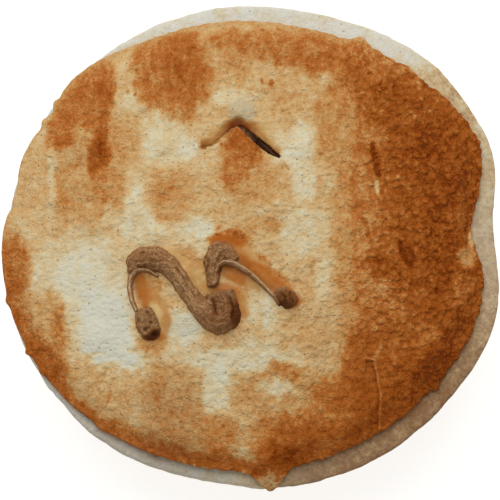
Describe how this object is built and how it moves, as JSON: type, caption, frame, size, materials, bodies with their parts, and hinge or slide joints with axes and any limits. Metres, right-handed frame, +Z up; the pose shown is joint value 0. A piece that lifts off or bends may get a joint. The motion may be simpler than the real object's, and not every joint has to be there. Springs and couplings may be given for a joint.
{
  "type": "chicken pie",
  "caption": "Round single-serve pie: pale pastry case, browned ragged-edged lid with an open steam vent, and a wavy line of piped dough.",
  "frame": {"origin": "middle of the pie's outline at the level of its flat foot", "axes": "+Z up, -Y towards the viewer of the picture, +X to the viewer's right"},
  "size_m": [0.1203, 0.1195, 0.0417],
  "materials": {
    "case_crust": "pale floury baked pastry, matt",
    "lid_crust": "baked pastry, cream to dark brown in patches, slightly satin where browned",
    "piped_dough": "rough grey-brown baked piped dough"
  },
  "bodies": {
    "root": {"pastry_case": "case_crust", "pastry_lid": "lid_crust", "piped_zigzag": "piped_dough"}
  },
  "joints": []
}
